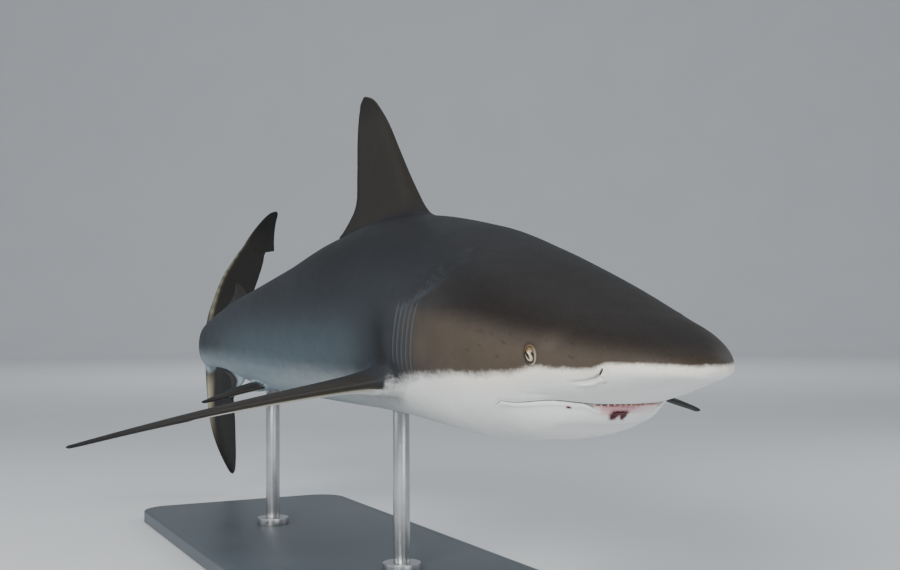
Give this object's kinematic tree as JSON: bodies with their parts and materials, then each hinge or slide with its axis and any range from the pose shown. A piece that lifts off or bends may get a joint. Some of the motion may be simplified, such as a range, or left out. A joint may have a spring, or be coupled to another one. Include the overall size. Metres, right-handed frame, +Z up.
{
  "type": "requiem shark on a display stand",
  "caption": "Life-size still model of a requiem shark swimming with its tail swung to one side, held above a flat base by upright rods.",
  "frame": {"origin": "on the floor, below the middle of the model's box", "axes": "+Z up, +X towards the shark's head, +Y towards its left side"},
  "size_m": [1.9899, 1.0174, 0.7918],
  "materials": {
    "skin": "bronze-grey back with a sharp edge to a white belly, satin, with the fine roughness of shark skin",
    "fin_skin": "dark bronze-brown, satin, darker towards the tips",
    "mouth": "white skin, moist pink gum and small white teeth",
    "eye": "glossy golden eye with an upright dark slit pupil",
    "stand_board": "board painted satin charcoal",
    "stand_metal": "brushed round bar"
  },
  "bodies": {
    "root": {"head": "skin", "gill_region": "skin", "trunk_front": "skin", "trunk_rear": "skin", "tail_stalk_front": "skin", "tail_stalk_rear": "skin", "lower_jaw": "mouth", "eye_right": "eye", "eye_left": "eye", "pectoral_fin_right": "fin_skin", "pectoral_fin_left": "fin_skin", "pelvic_fin_right": "fin_skin", "pelvic_fin_left": "fin_skin", "first_dorsal_fin": "fin_skin", "second_dorsal_fin": "fin_skin", "anal_fin": "fin_skin", "caudal_fin_upper_lobe": "fin_skin", "caudal_fin_lower_lobe": "fin_skin", "stand_base": "stand_board", "stand_collar_front": "stand_metal", "stand_rod_front": "stand_metal", "stand_collar_rear": "stand_metal", "stand_rod_rear": "stand_metal"}
  },
  "joints": []
}
